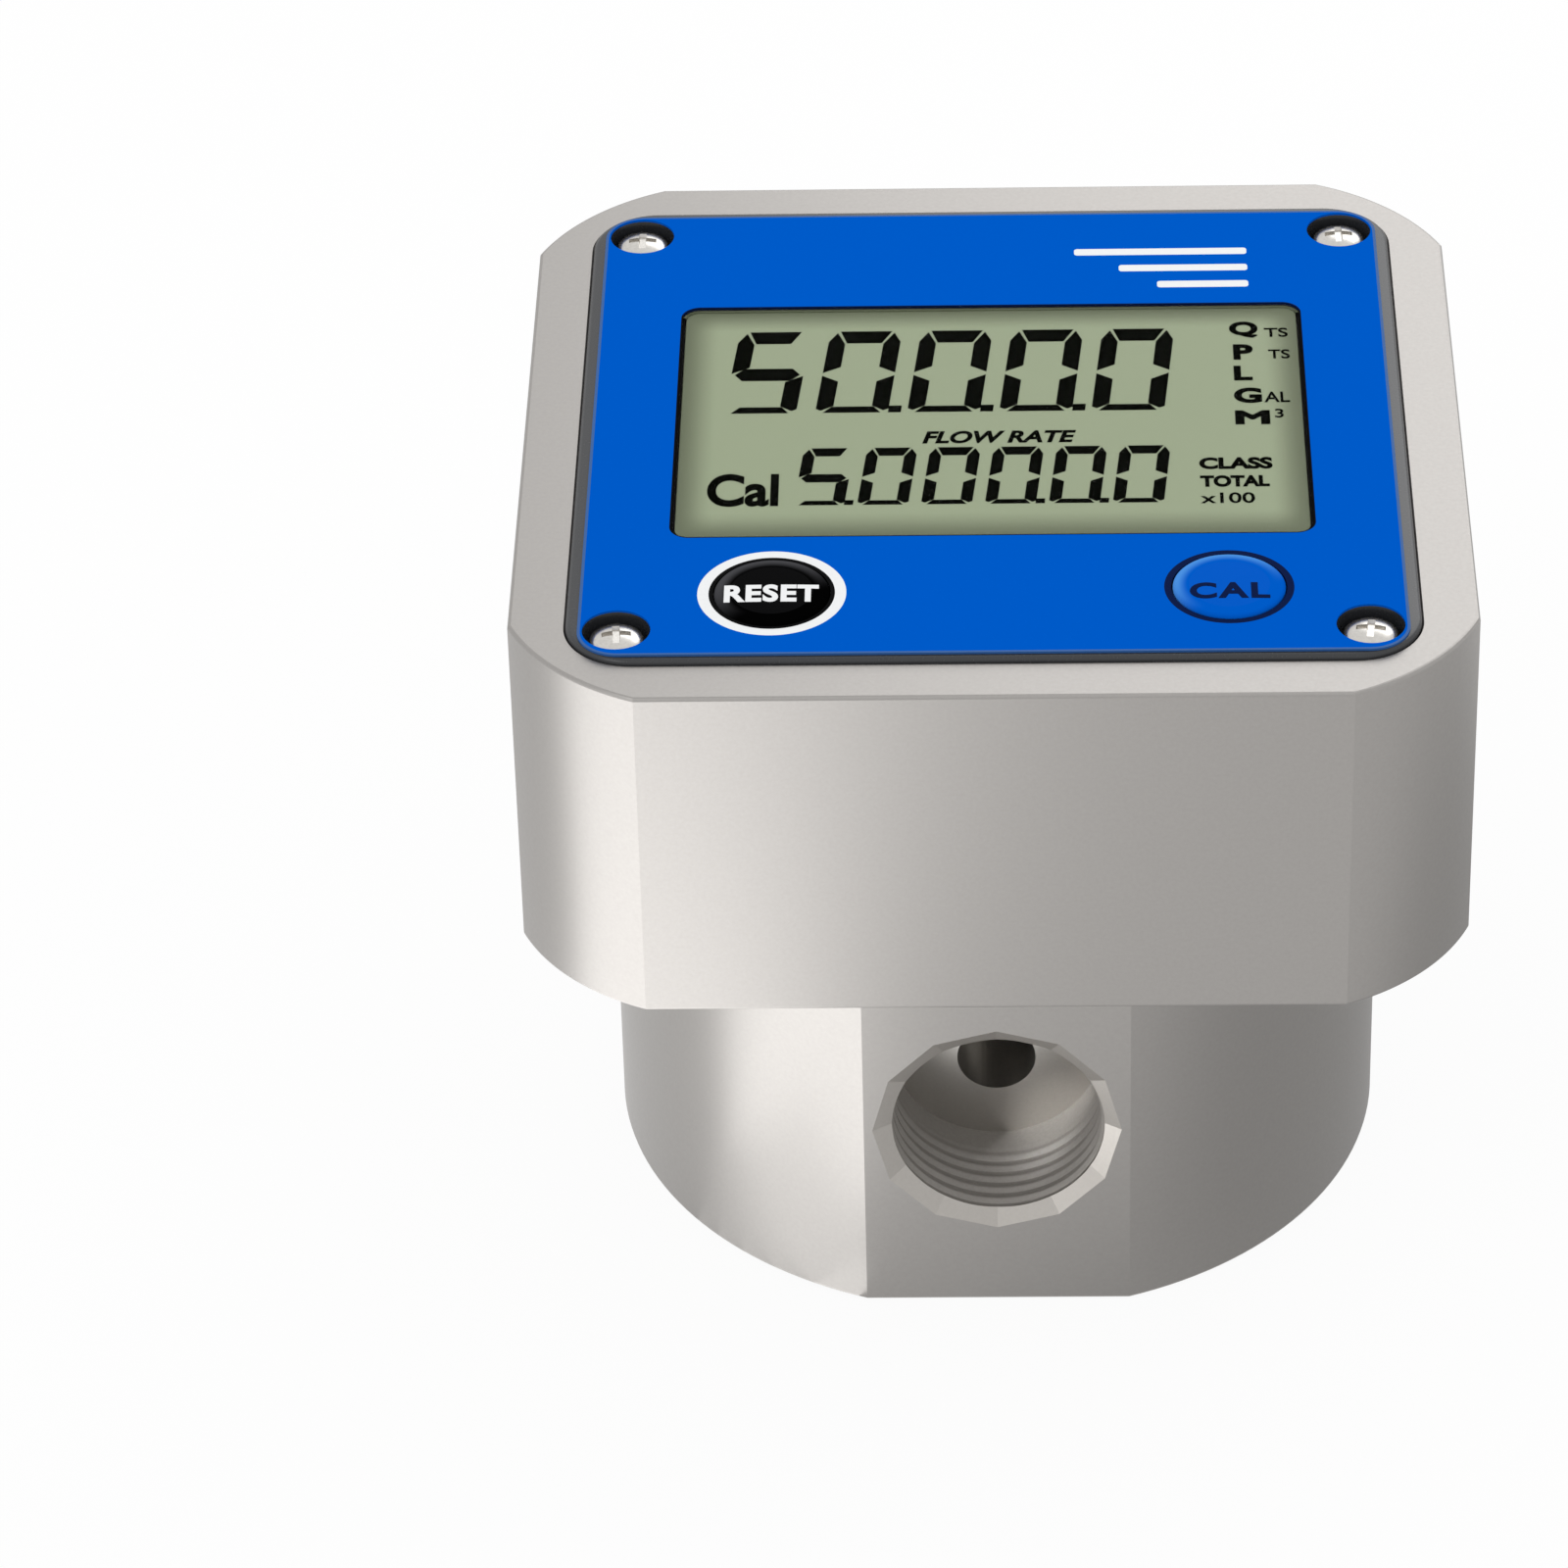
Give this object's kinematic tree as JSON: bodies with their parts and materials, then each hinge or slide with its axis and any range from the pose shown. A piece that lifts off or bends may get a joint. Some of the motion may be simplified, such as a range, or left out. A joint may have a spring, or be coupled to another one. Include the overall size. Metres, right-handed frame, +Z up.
{
  "type": "flow meter",
  "caption": "Turbine flow meter with a round stainless body, threaded ports front and rear, and a square display head with a liquid-crystal readout and push buttons.",
  "frame": {"origin": "centre of the round base, on the face it stands on", "axes": "+Z up through the display, -Y out of the front port, +X to the right of the display"},
  "size_m": [0.082, 0.082, 0.0728],
  "materials": {
    "stainless": "satin machined stainless steel",
    "screw_steel": "bright plated steel",
    "dark_plate": "moulded black plastic",
    "label_blue": "printed polyester overlay",
    "clear_pane": "clear polycarbonate",
    "display_glass": "grey-green liquid-crystal glass",
    "reflector": "reflective film",
    "seal_rubber": "black nitrile rubber",
    "strip_rubber": "silver-carbon elastomer",
    "key_black": "black moulded button",
    "key_blue": "blue moulded button",
    "acetal": "white acetal",
    "magnet": "nickel-plated magnet",
    "board_green": "glass-epoxy board with solder mask",
    "chip_black": "moulded epoxy",
    "tin_can": "tinned steel",
    "contact_brass": "plated spring brass",
    "cell_wrap": "printed battery can",
    "adhesive": "foam adhesive pad"
  },
  "bodies": {
    "meter": {"flow_body": "stainless", "display_housing": "stainless", "chamber_cap": "acetal", "cap_seal": "seal_rubber", "housing_seal": "seal_rubber", "lower_bearing": "acetal", "upper_bearing": "acetal", "pickup_sensor": "chip_black", "sensor_pins": "tin_can", "housing_screws": "screw_steel", "faceplate": "dark_plate", "front_label": "label_blue", "faceplate_gasket": "seal_rubber", "faceplate_screws": "screw_steel", "display_window": "clear_pane", "display_gasket": "seal_rubber", "lcd_panel": "display_glass", "lcd_reflector": "reflector", "display_frame": "dark_plate", "contact_strips": "strip_rubber", "circuit_board": "board_green", "board_screws": "screw_steel", "processor_chip": "chip_black", "timing_crystal": "tin_can", "reset_switch": "chip_black", "cal_switch": "chip_black", "battery_holder": "dark_plate", "holder_pad": "adhesive", "battery_cells": "cell_wrap", "battery_contacts": "contact_brass", "battery_pins": "contact_brass"},
    "rotor": {"turbine_rotor": "acetal", "rotor_shaft": "screw_steel", "rotor_magnets": "magnet"},
    "reset_key": {"reset_button": "key_black", "reset_plunger": "chip_black"},
    "cal_key": {"cal_button": "key_blue", "cal_plunger": "chip_black"}
  },
  "joints": [
    {"name": "rotor_spin", "type": "hinge", "parent": "meter", "child": "rotor", "pos_m": [0.0085, 0, 0.0193], "axis": [0, 0, 1], "continuous": true},
    {"name": "reset_press", "type": "slide", "parent": "meter", "child": "reset_key", "axis": [0, 0, -1], "range_m": [0, 0.0008], "stiffness_N_per_m": 2000, "springref_m": -0.0002},
    {"name": "cal_press", "type": "slide", "parent": "meter", "child": "cal_key", "axis": [0, 0, -1], "range_m": [0, 0.0008], "stiffness_N_per_m": 2000, "springref_m": -0.0002}
  ]
}
